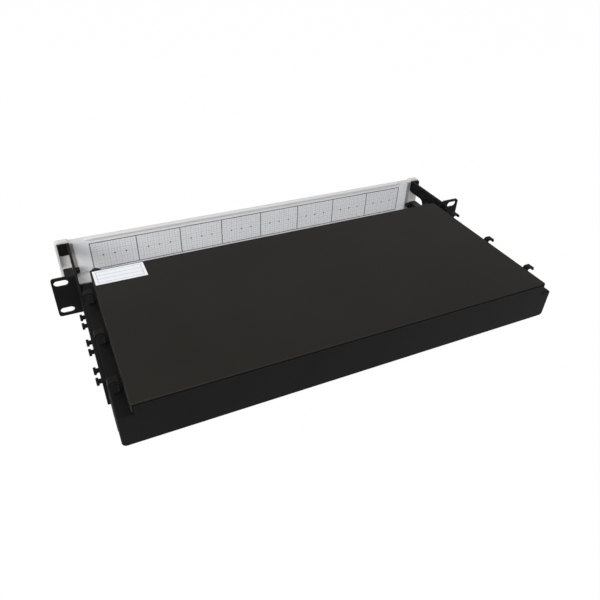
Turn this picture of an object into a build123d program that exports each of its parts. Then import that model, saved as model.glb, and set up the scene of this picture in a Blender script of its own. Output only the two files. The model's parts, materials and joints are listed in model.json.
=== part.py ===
from build123d import *
import os

# Fibre patch panel, one rack unit high, lying flat as on a bench.
# Units are millimetres. Origin: middle of the four rack slots, on the faces of the ears that meet
# the rack posts. The door and the ports face -Y, the tray runs back to +Y, and +Z is up.
# Left and right are as seen by someone standing in front of the door.

# Rack interface
ear_span = 482.6
ear_reach = 24.8
ear_corner = 3.0
slot_edge = 8.75
rack_slot_rise = 31.75
slot_length = 13.5
slot_width = 7.0

# Overall form
panel_height = 43.6
shoulder_height = 31.0
shoulder_width = 11.5
cover_front = -2.4
door_plane = -78.0

# Sheets, and gaps between pieces
tray_sheet = 1.2
cover_sheet = 1.2
carrier_sheet = 1.2
bracket_sheet = 2.5
sheet_gap = 0.4
slip_gap = 0.2
seat_gap = 0.3
bend_radius = 4.0
fold_radius = 2.5
shoulder_bend = 1.6

# How far a cut starts outside the solid that it opens
cut_over = 1.0

# Tray
rear_corner = 1.5
rear_slot = 1.4
entry_length = 30.0
entry_height = 16.0
entry_set_in = 23.0
entry_z = -6.0

# Top cover
cover_edge = 1.0
cover_corner = 2.0
flange_rear_end = 7.5
front_lip = 6.2
tab_reach = 9.0
tab_width = 11.0

# Plunger that locks the cover
plunger_inset = 4.2
plunger_set_out = 4.6
plunger_head = 3.6
plunger_stem = 2.0
plunger_head_height = 3.6
plunger_dome = 2.4
plunger_stem_length = 9.0
plunger_tip = 0.5
plunger_hole_gap = 0.3

# Label on the cover, left blank
sticker_length = 49.0
sticker_depth = 24.4
sticker_thick = 0.2
sticker_inset = 1.75
sticker_set_back = 2.0
sticker_corner = 0.6

# Modules and the carrier they plug into
module_count = 8
row_margin = 18.5
module_gap = 1.0
module_depth = 105.0
module_wall = 1.5
module_corner = 1.5
module_headroom = 2.0
module_lid_thick = 1.4
module_lid_step = 1.0
window_side_edge = 1.25
window_top_edge = 2.2
window_corner = 1.0
carrier_flange = 10.0
shelf_drop = 0.4

# Duplex ports of a module
port_columns = 3
port_rows = 2
port_margin = 1.1
port_side_spacing = 0.8
port_row_spacing = 4.4
port_row_edge = 0.3
port_body_front = 8.2
port_body_length = 24.0
port_flange = 0.5
socket_wall = 1.45
socket_roof = 2.1
socket_side = 0.15
socket_depth = 9.0
key_slot_width = 2.2
key_slot_height = 0.9
cap_plate = 1.6
cap_grip = 5.0
cap_grip_width = 6.4
cap_grip_height = 2.4
cap_play = 0.2
cap_plug_short = 2.0

# Trunk connector at the back of a module
trunk_width = 12.6
trunk_height = 10.0
trunk_flange = 1.5
trunk_reach = 9.0
trunk_inside = 6.0
trunk_offset_z = -5.0
trunk_cap_reach = 6.0
trunk_socket_width = 9.4
trunk_socket_height = 5.6
trunk_socket_depth = 6.0
trunk_plug_short = 1.0

# Brackets
bracket_set_in = 47.0
bracket_low_gap = 0.4
bracket_step_rear = 16.0
bracket_step_front = 5.0
bracket_corner = 3.0
arm_drop = 1.3
arm_height = 14.3
mouth_depth = 28.0
exit_corner = 7.0
lower_bar_height = 10.2
lower_bar_clear = 3.5
catch_tab_width = 9.4
catch_tab_height = 12.9
catch_tab_drop = 0.4
catch_tab_clear = 2.0
catch_tab_corner = 2.0

# Tie lugs in pairs along a bracket, and the screws that hold it
lug_pairs = 3
lug_first_y = 43.0
lug_end = 18.0
lug_spacing = 13.4
lug_neck = 4.0
lug_head = 8.0
lug_neck_reach = 2.2
lug_head_reach = 2.4
lug_corner = 0.8
lug_thick = 2.0
lug_z = -3.0
screw_radius = 1.75
screw_head = 3.4
screw_length = 6.5
screw_gap = 0.1
screw_end = 20.0
screw_z = -10.0
screw_drive = 1.3
screw_drive_depth = 1.4

# Strap hooks on the shoulders
hook_count = 3
hook_width = 6.5
hook_thick = 1.6
hook_pitch = 61.5
hook_set_in = 27.5
hook_cover_gap = 1.8
hook_edge = 0.1
hook_rise = 0.5
hook_foot = 5.4
hook_drop = 3.5
hook_bend = 2.2

# Front sill, the hinge clips and the hinge blocks
sill_clear = 7.8
sill_showing = 12.4
sill_lap = 3.0
sill_sheet = 1.2
sill_edge = 0.5
sill_side_gap = 1.0
clip_clear = 3.7
clip_width = 4.5
clip_length = 5.0
clip_height = 4.9
clip_rise = 10.6
hinge_block_width = 9.5
hinge_block_length = 18.0
hinge_block_foot = 3.5
hinge_block_tail = 3.0
hinge_block_height = 11.5
hinge_block_clear = 1.5
block_corner = 1.5

# Hinge and door
hinge_set_in = 3.0
hinge_rise = 3.0
hinge_pin = 1.5
knuckle_radius = 2.6
pin_press_gap = 0.02
pin_running_gap = 0.06
door_depth = 7.8
door_wall = 1.8
door_edge = 1.6
door_top_drop = 3.1
door_lip = 2.6
door_lip_end = 22.0
door_lip_set_back = 6.8
cap_gap = 0.5
cap_width = 14.0
cap_proud = 0.7
cap_corner = 5.0
cap_inner_corner = 1.5
cap_crown = 4.0
cap_top_drop = 0.6
cap_pocket = 5.0
cap_rim = 2.0
cap_low_rim = 4.8
cheek_outer = 2.5
notch_height = 6.6
stop_width = 4.0
card_thick = 0.4
window_thick = 0.6
window_gap = 0.05
label_top_gap = 1.3
label_ledge = 0.8
ledge_gap = 0.7
catch_radius = 3.6
catch_edge = 0.4

# Inside the tray
grommet_lip = 1.5
grommet_lip_thick = 0.8
grommet_web = 1.6
guide_radius = 26.0
guide_wall = 2.0
guide_height = 22.0
guide_set_in = 48.5
guide_front_gap = 4.6
guide_rear_gap = 7.0
guide_foot = 5.0
anchor_set_in = 13.5
anchor_width = 12.0
anchor_neck = 6.0
anchor_head = 3.0
anchor_corner = 0.8
anchor_foot = 16.0
anchor_height = 12.0
anchor_sheet = 1.5

# Levels that follow from those
panel_bottom = -panel_height / 2
panel_top = panel_height / 2
shoulder_z = panel_bottom + shoulder_height
floor_top = panel_bottom + tray_sheet
neck_top = panel_top - cover_sheet - sheet_gap

# Widths that follow
rack_slot_span = ear_span - 2 * slot_edge
tray_width = ear_span - 2 * ear_reach
tray_side = tray_width / 2
cover_width = tray_width - 2 * shoulder_width
cover_side = cover_width / 2
neck_side = cover_side - cover_sheet - sheet_gap
bracket_inner = tray_side
bracket_outer = bracket_inner + bracket_sheet
cap_inner = tray_side + cap_gap
cap_side = cap_inner + cap_width
label_side = cap_inner - stop_width
sill_side = tray_side - sill_side_gap
clip_inner = tray_side - clip_width
ledge_side = clip_inner - ledge_gap

# Depths that follow, from the modules back and from the door back
carrier_front = cover_front + cover_sheet + slip_gap
carrier_back = carrier_front + carrier_sheet
module_rear = carrier_back + module_depth
guide_y = module_rear + trunk_reach + trunk_cap_reach + guide_front_gap + guide_radius
tray_rear = guide_y + guide_radius + guide_rear_gap + tray_sheet
bracket_rear = tray_rear - bracket_set_in
entry_y = tray_rear - entry_set_in
door_inner = door_plane + door_depth
cap_rear = door_inner + cap_proud
arm_tip = cap_rear + catch_tab_clear + bracket_sheet
lower_bar_tip = cap_rear + lower_bar_clear
web_front = arm_tip + mouth_depth
sill_front = door_inner + sill_clear
apron_front = sill_front + sill_showing
clip_front = door_inner + clip_clear
hinge_block_front = cap_rear + hinge_block_clear
hinge_block_rear = hinge_block_front + hinge_block_length

# Modules and ports that follow
module_pitch = (tray_width - 2 * row_margin) / module_count
module_width = module_pitch - module_gap
module_bottom = floor_top + carrier_sheet
module_top = neck_top - carrier_sheet - module_headroom - module_lid_thick
module_height = module_top - module_bottom
window_width = module_width - 2 * window_side_edge
window_height = module_height - 2 * window_top_edge
window_z = module_bottom + module_height / 2
port_pitch_x = (window_width - 2 * port_margin) / port_columns
port_pitch_z = window_height / port_rows - port_row_edge
port_body_width = port_pitch_x - 2 * port_flange - port_side_spacing
port_body_height = port_pitch_z - 2 * port_flange - port_row_spacing
socket_pitch = port_body_width / 2 - socket_side
socket_width = socket_pitch - socket_wall
socket_height = port_body_height - 2 * socket_roof

# Plungers, hinge, brackets and door that follow
plunger_x = neck_side - plunger_inset
plunger_y = cover_front - plunger_set_out
hinge_y = door_plane + hinge_set_in
hinge_z = panel_bottom + hinge_rise
bracket_bottom = panel_bottom + bracket_low_gap
lower_bar_top = bracket_bottom + lower_bar_height
arm_top = panel_top - arm_drop
arm_under = arm_top - arm_height
lug_pitch = (bracket_rear - lug_end - lug_first_y) / (lug_pairs - 1)
screw_ys = (screw_end, bracket_rear / 2, bracket_rear - screw_end)
door_top = panel_top - door_top_drop
cap_top = panel_top - cap_top_drop
label_bottom = panel_bottom + label_ledge + slip_gap / 2
label_top = door_top - label_top_gap

os.makedirs("parts", exist_ok=True)


# Labels a finished piece and writes it under its node's name
def finish(builder, node):
    builder.part.label = node
    export_step(builder.part, f"parts/{node}.step")


# The same piece on the other side of the panel
def other_side(builder):
    with BuildPart() as mirrored:
        mirror(builder.part, about=Plane.YZ)
    return mirrored


# Stepped section of the tray: wide below the shoulder, narrow above it
def stepped_section(plane, side, bottom, shoulder, neck, top, low_radius, high_radius):
    with BuildSketch(plane) as section:
        with BuildLine():
            Polyline(
                (-side, bottom),
                (side, bottom),
                (side, shoulder),
                (neck, shoulder),
                (neck, top),
                (-neck, top),
                (-neck, shoulder),
                (-side, shoulder),
                close=True,
            )
        make_face()
        fillet(section.vertices().group_by(Axis.Y)[0], low_radius)
        shoulder_corners = section.vertices().filter_by(
            lambda v: abs(v.X) > neck + high_radius and v.Y > shoulder - high_radius
        )
        fillet(shoulder_corners, high_radius)
    return section.sketch


# The tray's whole shell: stepped sides, a plain rear wall and a floor that runs on under the ports
def make_shell():
    outer = stepped_section(
        Plane.XZ.offset(-tray_rear),
        tray_side,
        panel_bottom,
        shoulder_z,
        neck_side,
        neck_top,
        bend_radius,
        shoulder_bend,
    )
    inner = stepped_section(
        Plane.XZ.offset(-(tray_rear - tray_sheet)),
        tray_side - tray_sheet,
        floor_top,
        shoulder_z - tray_sheet,
        neck_side - tray_sheet,
        panel_top,
        bend_radius - tray_sheet,
        shoulder_bend - tray_sheet,
    )
    shell_length = tray_rear - carrier_back
    with BuildPart() as shell:
        extrude(outer, amount=shell_length)
        rear_rim = (
            shell.faces()
            .sort_by(Axis.Y)[-1]
            .edges()
            .filter_by(lambda e: e.center().Z < shoulder_z + sheet_gap and abs(e.center().X) != neck_side)
        )
        fillet(rear_rim, rear_corner)
        extrude(inner, amount=shell_length, mode=Mode.SUBTRACT)
        with BuildSketch(Plane.XZ.offset(-tray_rear)):
            with Locations((0, panel_top)):
                Rectangle(2 * cover_side, 2 * (cover_sheet + rear_slot))
        extrude(amount=tray_sheet + sheet_gap, mode=Mode.SUBTRACT)
        with BuildSketch(Plane.XY.offset(panel_bottom)):
            with Locations((0, (carrier_back + apron_front) / 2)):
                Rectangle(2 * (tray_side - sheet_gap), carrier_back - apron_front)
        extrude(amount=tray_sheet)
        with BuildSketch(Plane.YZ.offset(-tray_side - cut_over)):
            with Locations((entry_y, entry_z)):
                SlotOverall(entry_length, entry_height)
        extrude(amount=tray_width + 2 * cut_over, mode=Mode.SUBTRACT)
        with BuildSketch(Plane.YZ.offset(-tray_side - cut_over)):
            with Locations(*[(y, screw_z) for y in screw_ys]):
                Circle(screw_radius + screw_gap)
        extrude(amount=tray_width + 2 * cut_over, mode=Mode.SUBTRACT)
    return shell


# Space of the right side wall, up to the welds along the floor's rim and the rear wall's rim
def make_side_space():
    inner_side = neck_side - tray_sheet - cut_over
    outer_side = tray_side + cut_over
    weld_y = tray_rear - rear_corner
    with BuildPart() as space:
        with BuildSketch(Plane.XY.offset(panel_bottom + bend_radius)):
            with Locations(((inner_side + outer_side) / 2, (carrier_back + weld_y) / 2)):
                Rectangle(outer_side - inner_side, weld_y - carrier_back)
        extrude(amount=neck_top - panel_bottom)
    return space


# Tray: the shell without its side walls, so a floor with a low rim and the rear wall
def make_tray(shell):
    space = make_side_space()
    with BuildPart() as tray:
        add(shell.part)
        add(space.part, mode=Mode.SUBTRACT)
        mirror(space.part, about=Plane.YZ, mode=Mode.SUBTRACT)
    return tray


# Right side of the tray: wall, shoulder and neck in one folded strip, welded on along its lower edge
def make_tray_side(shell):
    space = make_side_space()
    with BuildPart() as tray_side_wall:
        add(shell.part)
        add(space.part, mode=Mode.INTERSECT)
    return tray_side_wall


# Top cover: a plate with side flanges and a front lip with two tabs. The plate runs on over the rear wall,
# and a narrow dark slot stays open under its rear edge
def make_top_cover():
    flange_bottom = shoulder_z + sheet_gap
    flange_height = panel_top - cover_sheet - flange_bottom
    flange_rear = tray_rear - flange_rear_end
    inner_front = cover_front + cover_sheet
    with BuildPart() as cover:
        with BuildSketch(Plane.XY.offset(flange_bottom)):
            with Locations((0, (tray_rear + cover_front) / 2)):
                Rectangle(cover_width, tray_rear - cover_front)
        extrude(amount=panel_top - flange_bottom)
        fillet(cover.edges().filter_by(Axis.Z), cover_corner)
        fillet(cover.faces().sort_by(Axis.Z)[-1].edges(), cover_edge)
        with BuildSketch(Plane.XY.offset(flange_bottom)):
            with Locations((0, (inner_front + flange_rear + cut_over) / 2)):
                Rectangle(cover_width - 2 * cover_sheet, flange_rear + cut_over - inner_front)
            with Locations((0, (flange_rear + tray_rear + cut_over) / 2)):
                Rectangle(cover_width + 2 * cut_over, tray_rear + cut_over - flange_rear)
        extrude(amount=flange_height, mode=Mode.SUBTRACT)
        with BuildSketch(Plane.XZ.offset(-cover_front)):
            with BuildLine():
                lip_bottom = panel_top - front_lip
                inner_side = cover_side - cover_sheet
                Polyline(
                    (-inner_side, flange_bottom - cut_over),
                    (inner_side, flange_bottom - cut_over),
                    (inner_side, lip_bottom),
                    (-inner_side, lip_bottom),
                    close=True,
                )
            make_face()
        extrude(amount=-2 * cover_sheet, mode=Mode.SUBTRACT)
        with BuildSketch(Plane.XY.offset(panel_top - front_lip)):
            with Locations((plunger_x, cover_front - tab_reach / 2), (-plunger_x, cover_front - tab_reach / 2)):
                Rectangle(tab_width, tab_reach + cover_sheet)
            with Locations((plunger_x, plunger_y)):
                Circle(plunger_stem + plunger_hole_gap, mode=Mode.SUBTRACT)
        extrude(amount=cover_sheet)
        tab_corners = cover.edges().filter_by(Axis.Z).group_by(Axis.Y)[0]
        fillet(tab_corners, fold_radius)
    return cover


# Plunger: a domed knob on a straight stem that drops through the right tab and the shelf below it
def make_plunger():
    head_base = panel_top - front_lip + cover_sheet + seat_gap
    with BuildPart() as plunger:
        with BuildSketch(Plane.XY.offset(head_base)):
            with Locations((plunger_x, plunger_y)):
                Circle(plunger_head)
        extrude(amount=plunger_head_height)
        fillet(plunger.faces().sort_by(Axis.Z)[-1].edges(), plunger_dome)
        with BuildSketch(Plane.XY.offset(head_base)):
            with Locations((plunger_x, plunger_y)):
                Circle(plunger_stem)
        extrude(amount=-plunger_stem_length)
        chamfer(plunger.faces().sort_by(Axis.Z)[0].edges(), plunger_tip)
    return plunger


# Blank label on the cover's front corner
def make_cover_label():
    middle_x = cover_side - sticker_inset - sticker_length / 2
    middle_y = cover_front + sticker_set_back + sticker_depth / 2
    with BuildPart() as sticker:
        with BuildSketch(Plane.XY.offset(panel_top)):
            with Locations((middle_x, middle_y)):
                RectangleRounded(sticker_length, sticker_depth, sticker_corner)
        extrude(amount=sticker_thick)
    return sticker


# Middle of each module, side to side
def module_x(index):
    return (index - (module_count - 1) / 2) * module_pitch


# Carrier: the front plate with a window for each module, folded back at top and bottom
def make_carrier():
    plate = stepped_section(
        Plane.XZ.offset(-carrier_back),
        tray_side - slip_gap,
        floor_top,
        shoulder_z,
        neck_side,
        neck_top,
        bend_radius - tray_sheet,
        shoulder_bend,
    )
    shelf_top = panel_top - front_lip - shelf_drop
    with BuildPart() as carrier:
        extrude(plate, amount=carrier_sheet)
        with BuildSketch(Plane.XZ.offset(-carrier_back)):
            with Locations(*[(module_x(i), window_z) for i in range(module_count)]):
                RectangleRounded(window_width, window_height, window_corner)
        extrude(amount=carrier_sheet, mode=Mode.SUBTRACT)
        flange_side = neck_side - tray_sheet - slip_gap
        for flange_z in (floor_top, neck_top - carrier_sheet):
            with BuildSketch(Plane.XY.offset(flange_z)):
                with Locations((0, carrier_back + carrier_flange / 2)):
                    Rectangle(2 * flange_side, carrier_flange)
            extrude(amount=carrier_sheet)
        shelf_y = carrier_front - tab_reach / 2
        shelf_x = neck_side - tab_width / 2
        with BuildSketch(Plane.XY.offset(shelf_top - carrier_sheet)):
            with Locations((shelf_x, shelf_y), (-shelf_x, shelf_y)):
                Rectangle(tab_width, tab_reach)
            with Locations((plunger_x, plunger_y)):
                Circle(plunger_stem + plunger_hole_gap, mode=Mode.SUBTRACT)
        extrude(amount=carrier_sheet)
    return carrier


# Places of the ports of one module, as (x, z)
def port_places(index):
    places = []
    for row in range(port_rows):
        for column in range(port_columns):
            x = module_x(index) + (column - (port_columns - 1) / 2) * port_pitch_x
            z = window_z + (row - (port_rows - 1) / 2) * port_pitch_z
            places.append((x, z))
    return places


# Housing of one module: an open box with holes for its ports and its trunk connector
def make_module_housing(index):
    x = module_x(index)
    middle_y = carrier_back + module_depth / 2
    with BuildPart() as housing:
        with BuildSketch(Plane.XY.offset(module_bottom)):
            with Locations((x, middle_y)):
                RectangleRounded(module_width, module_depth, module_corner)
        extrude(amount=module_height)
        with BuildSketch(Plane.XY.offset(module_bottom + module_wall)):
            with Locations((x, middle_y)):
                Rectangle(module_width - 2 * module_wall, module_depth - 2 * module_wall)
        extrude(amount=module_height, mode=Mode.SUBTRACT)
        with BuildSketch(Plane.XZ.offset(-carrier_back - module_wall)):
            with Locations(*port_places(index)):
                Rectangle(port_body_width + slip_gap, port_body_height + slip_gap)
        extrude(amount=module_wall, mode=Mode.SUBTRACT)
        with BuildSketch(Plane.XZ.offset(-module_rear)):
            with Locations((x, window_z + trunk_offset_z)):
                Rectangle(trunk_width + slip_gap, trunk_height + slip_gap)
        extrude(amount=module_wall, mode=Mode.SUBTRACT)
    return housing


# Lid of one module: a plate with a shallow step that drops inside the walls
def make_module_lid(index):
    x = module_x(index)
    middle_y = carrier_back + module_depth / 2
    inner = 2 * (module_wall + slip_gap)
    with BuildPart() as lid:
        with BuildSketch(Plane.XY.offset(module_top)):
            with Locations((x, middle_y)):
                RectangleRounded(module_width, module_depth, module_corner)
        extrude(amount=module_lid_thick)
        with BuildSketch(Plane.XY.offset(module_top)):
            with Locations((x, middle_y)):
                Rectangle(module_width - inner, module_depth - inner)
        extrude(amount=-module_lid_step)
    return lid


# Duplex ports of one module, each a block with a stop flange and two sockets with key slots
def make_module_ports(index):
    places = port_places(index)
    front_y = carrier_back - port_body_front
    with BuildPart() as ports:
        with BuildSketch(Plane.XZ.offset(-front_y - port_body_length)):
            with Locations(*places):
                Rectangle(port_body_width, port_body_height)
        extrude(amount=port_body_length)
        with BuildSketch(Plane.XZ.offset(-carrier_back)):
            with Locations(*places):
                Rectangle(port_body_width + 2 * port_flange, port_body_height + 2 * port_flange)
        extrude(amount=carrier_sheet)
        with BuildSketch(Plane.XZ.offset(-front_y)):
            with Locations(*places):
                with GridLocations(socket_pitch, 1, 2, 1):
                    Rectangle(socket_width, socket_height)
                    with Locations((0, (socket_height + key_slot_height) / 2)):
                        Rectangle(key_slot_width, key_slot_height)
        extrude(amount=-socket_depth, mode=Mode.SUBTRACT)
    return ports


# Dust caps for every duplex port: a plate with two plugs and a flat grip
def make_dust_caps():
    plug_width = socket_width - 2 * cap_play
    plug_height = socket_height - 2 * cap_play
    plate_y = carrier_back - port_body_front
    with BuildPart() as caps:
        for index in range(module_count):
            places = port_places(index)
            with BuildSketch(Plane.XZ.offset(-plate_y)):
                with Locations(*places):
                    Rectangle(port_body_width - cap_play, port_body_height - cap_play)
            extrude(amount=cap_plate)
            with BuildSketch(Plane.XZ.offset(-plate_y + cap_plate)):
                with Locations(*places):
                    Rectangle(cap_grip_width, cap_grip_height)
            extrude(amount=cap_grip)
            with BuildSketch(Plane.XZ.offset(-plate_y)):
                with Locations(*places):
                    with GridLocations(socket_pitch, 1, 2, 1):
                        Rectangle(plug_width, plug_height)
            extrude(amount=-(socket_depth - cap_plug_short))
    return caps


# Trunk connectors through the modules' rear walls
def make_trunk_adapters():
    places = [(module_x(i), window_z + trunk_offset_z) for i in range(module_count)]
    with BuildPart() as adapters:
        with BuildSketch(Plane.XZ.offset(-module_rear - trunk_reach)):
            with Locations(*places):
                Rectangle(trunk_width, trunk_height)
        extrude(amount=trunk_reach + trunk_inside)
        with BuildSketch(Plane.XZ.offset(-module_rear - module_wall)):
            with Locations(*places):
                Rectangle(trunk_width + 2 * trunk_flange, trunk_height + 2 * trunk_flange)
        extrude(amount=module_wall)
        with BuildSketch(Plane.XZ.offset(-module_rear - trunk_reach)):
            with Locations(*places):
                Rectangle(trunk_socket_width, trunk_socket_height)
        extrude(amount=trunk_socket_depth, mode=Mode.SUBTRACT)
    return adapters


# Caps in the trunk connectors
def make_trunk_caps():
    face_y = module_rear + trunk_reach
    places = [(module_x(i), window_z + trunk_offset_z) for i in range(module_count)]
    with BuildPart() as caps:
        with BuildSketch(Plane.XZ.offset(-face_y - trunk_cap_reach)):
            with Locations(*places):
                Rectangle(trunk_socket_width, trunk_socket_height)
        extrude(amount=trunk_cap_reach - cap_plate)
        with BuildSketch(Plane.XZ.offset(-face_y - cap_plate)):
            with Locations(*places):
                Rectangle(trunk_width - cap_play, trunk_height - cap_play)
        extrude(amount=cap_plate)
        with BuildSketch(Plane.XZ.offset(-face_y)):
            with Locations(*places):
                Rectangle(trunk_socket_width - 2 * cap_play, trunk_socket_height - 2 * cap_play)
        extrude(amount=trunk_socket_depth - trunk_plug_short)
    return caps


# Places of the tie lugs along one bracket
def lug_ys():
    places = []
    for pair in range(lug_pairs):
        middle = lug_first_y + pair * lug_pitch
        places.append(middle - lug_spacing / 2)
        places.append(middle + lug_spacing / 2)
    return places


# Right bracket: a side plate with a C-shaped cord exit, the rack ear, a bent catch tab and tie lugs
def make_bracket():
    with BuildPart() as bracket:
        with BuildSketch(Plane.YZ.offset(bracket_inner)) as side:
            with BuildLine():
                Polyline(
                    (bracket_rear, bracket_bottom),
                    (bracket_rear, shoulder_z - bracket_low_gap),
                    (bracket_step_rear, shoulder_z - bracket_low_gap),
                    (bracket_step_front, arm_top),
                    (arm_tip, arm_top),
                    (arm_tip, arm_under),
                    (web_front, arm_under),
                    (web_front, lower_bar_top),
                    (lower_bar_tip, lower_bar_top),
                    (lower_bar_tip, bracket_bottom),
                    close=True,
                )
            make_face()
            rear_corners = side.vertices().group_by(Axis.X)[-1]
            fillet(rear_corners, bracket_corner)
            mouth_top = side.vertices().sort_by_distance((web_front, arm_under))[0]
            fillet(mouth_top, exit_corner)
            mouth_bottom = side.vertices().sort_by_distance((web_front, lower_bar_top))[0]
            fillet(mouth_bottom, bracket_corner)
        extrude(amount=bracket_sheet)
        with BuildSketch(Plane.XZ) as ear:
            with BuildLine():
                Polyline(
                    (bracket_outer, panel_bottom),
                    (ear_span / 2, panel_bottom),
                    (ear_span / 2, panel_top),
                    (bracket_outer, panel_top),
                    close=True,
                )
            make_face()
            fillet(ear.vertices().group_by(Axis.X)[-1], ear_corner)
            with Locations(
                (rack_slot_span / 2, rack_slot_rise / 2),
                (rack_slot_span / 2, -rack_slot_rise / 2),
            ):
                SlotOverall(slot_length, slot_width, mode=Mode.SUBTRACT)
        extrude(amount=bracket_sheet)
        tab_top = arm_top - catch_tab_drop
        with BuildSketch(Plane.XZ.offset(-arm_tip)) as tab:
            with BuildLine():
                Polyline(
                    (bracket_inner, tab_top),
                    (bracket_outer + catch_tab_width, tab_top),
                    (bracket_outer + catch_tab_width, tab_top - catch_tab_height),
                    (bracket_inner, tab_top - catch_tab_height),
                    close=True,
                )
            make_face()
            fillet(tab.vertices().group_by(Axis.X)[-1], catch_tab_corner)
        extrude(amount=bracket_sheet)
        with BuildSketch(Plane.XY.offset(lug_z)):
            for lug_y in lug_ys():
                with Locations((bracket_outer + lug_neck_reach / 2, lug_y)):
                    Rectangle(lug_neck_reach, lug_neck)
                with Locations((bracket_outer + lug_neck_reach + lug_head_reach / 2, lug_y)):
                    RectangleRounded(lug_head_reach, lug_head, lug_corner)
        extrude(amount=lug_thick)
        with Locations(
            *[
                Location((bracket_outer, y, screw_z), (0, 90, 0))
                for y in screw_ys
            ]
        ):
            CounterSinkHole(screw_radius + screw_gap, screw_head + screw_gap, depth=bracket_sheet + cut_over)
    return bracket


# Countersunk screws that hold both brackets to the tray, with a six-sided drive
def make_bracket_screws():
    taper = screw_head - screw_radius
    tip = bracket_outer - screw_length
    with BuildPart() as screws:
        for y in screw_ys:
            with BuildSketch(Plane((0, y, screw_z), x_dir=(1, 0, 0), z_dir=(0, -1, 0))):
                with BuildLine():
                    Polyline(
                        (tip, 0),
                        (tip, screw_radius),
                        (bracket_outer - taper, screw_radius),
                        (bracket_outer, screw_head),
                        (bracket_outer, 0),
                        close=True,
                    )
                make_face()
            revolve(axis=Axis((0, y, screw_z), (1, 0, 0)))
            with BuildSketch(Plane.YZ.offset(bracket_outer)):
                with Locations((y, screw_z)):
                    RegularPolygon(screw_drive, 6)
            extrude(amount=-screw_drive_depth, mode=Mode.SUBTRACT)
        mirror(about=Plane.YZ)
    return screws


# Strap hooks on the right shoulder: strips bent up beside the cover, outward and down at their ends
def make_strap_hooks():
    middle = hook_thick / 2
    stem_x = cover_side + hook_cover_gap + middle
    tip_x = tray_side - hook_edge - middle
    foot_z = shoulder_z + middle
    crown_z = panel_top + hook_rise - middle
    with BuildPart() as hooks:
        for number in range(hook_count):
            rear_y = tray_rear - hook_set_in - number * hook_pitch
            with BuildSketch(Plane.XZ.offset(-rear_y)):
                with BuildLine() as path:
                    FilletPolyline(
                        (stem_x + hook_foot, foot_z),
                        (stem_x, foot_z),
                        (stem_x, crown_z),
                        (tip_x, crown_z),
                        (tip_x, crown_z - hook_drop),
                        radius=hook_bend,
                    )
                trace(path.line, line_width=hook_thick)
            extrude(amount=hook_width)
    return hooks


# Right hinge block: a wedge clamped outside the bracket's lower bar, with a knuckle inside the door's end
def make_hinge_block():
    knuckle_inner = cap_inner + cap_rim + 2 * seat_gap + slip_gap
    knuckle_outer = cap_side - cheek_outer - seat_gap
    block_top = bracket_bottom + hinge_block_height
    with BuildPart() as block:
        with BuildSketch(Plane.YZ.offset(bracket_outer)) as body:
            with BuildLine():
                Polyline(
                    (hinge_block_front + hinge_block_foot, bracket_bottom),
                    (hinge_block_front, bracket_bottom),
                    (hinge_block_front, block_top),
                    (hinge_block_rear, block_top),
                    (hinge_block_rear, block_top - hinge_block_tail),
                    close=True,
                )
            make_face()
            fillet(body.vertices().group_by(Axis.Y)[-1], block_corner)
        extrude(amount=hinge_block_width)
        with BuildSketch(Plane.YZ.offset(knuckle_inner)):
            with Locations((hinge_y, hinge_z)):
                Circle(knuckle_radius)
            with Locations(((hinge_y + hinge_block_front) / 2, hinge_z)):
                Rectangle(hinge_block_front - hinge_y, 2 * knuckle_radius)
            with Locations((hinge_y, hinge_z)):
                Circle(hinge_pin + pin_press_gap, mode=Mode.SUBTRACT)
        extrude(amount=knuckle_outer - knuckle_inner)
    return block


# Hinge pins, one in each hinge block
def make_hinge_pins():
    with BuildPart() as pins:
        with BuildSketch(Plane.YZ.offset(cap_inner + seat_gap)):
            with Locations((hinge_y, hinge_z)):
                Circle(hinge_pin)
        extrude(amount=cap_side - cap_inner - 2 * seat_gap)
        mirror(about=Plane.YZ)
    return pins


# Right hinge clip: the small inner half of the hinge mounting, pinched on the bracket's lower bar
def make_hinge_clip():
    clip_top = floor_top + clip_rise
    with BuildPart() as clip:
        with BuildSketch(Plane.YZ.offset(clip_inner)) as body:
            with BuildLine():
                Polyline(
                    (clip_front + clip_length, clip_top - clip_height),
                    (clip_front, clip_top - clip_height),
                    (clip_front, clip_top),
                    (clip_front + clip_length, clip_top),
                    close=True,
                )
            make_face()
            fillet(body.vertices().group_by(Axis.Y)[-1], block_corner)
        extrude(amount=clip_width)
    return clip


# Front sill: the light strip that carries the cords between the tray's apron and the door
def make_front_sill():
    sill_rear = apron_front + sill_lap
    with BuildPart() as sill:
        with BuildSketch(Plane.XY.offset(floor_top)):
            with Locations((0, (sill_front + sill_rear) / 2)):
                Rectangle(2 * sill_side, sill_rear - sill_front)
        extrude(amount=sill_sheet)
        front_edges = sill.edges().filter_by(Axis.X).group_by(Axis.Y)[0]
        fillet(front_edges, sill_edge)
    return sill


# Right door catch: a round magnet on the bracket's tab, just short of the door's pocket
def make_door_catch():
    catch_x = bracket_outer + catch_tab_width / 2
    catch_z = arm_top - catch_tab_drop - catch_tab_height / 2
    catch_rear = arm_tip - bracket_sheet
    pocket_floor = cap_rear - cap_pocket
    with BuildPart() as catch:
        with BuildSketch(Plane.XZ.offset(-catch_rear)):
            with Locations((catch_x, catch_z)):
                Circle(catch_radius)
        extrude(amount=catch_rear - pocket_floor - seat_gap)
        chamfer(catch.faces().sort_by(Axis.Y)[0].edges(), catch_edge)
    return catch


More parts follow.
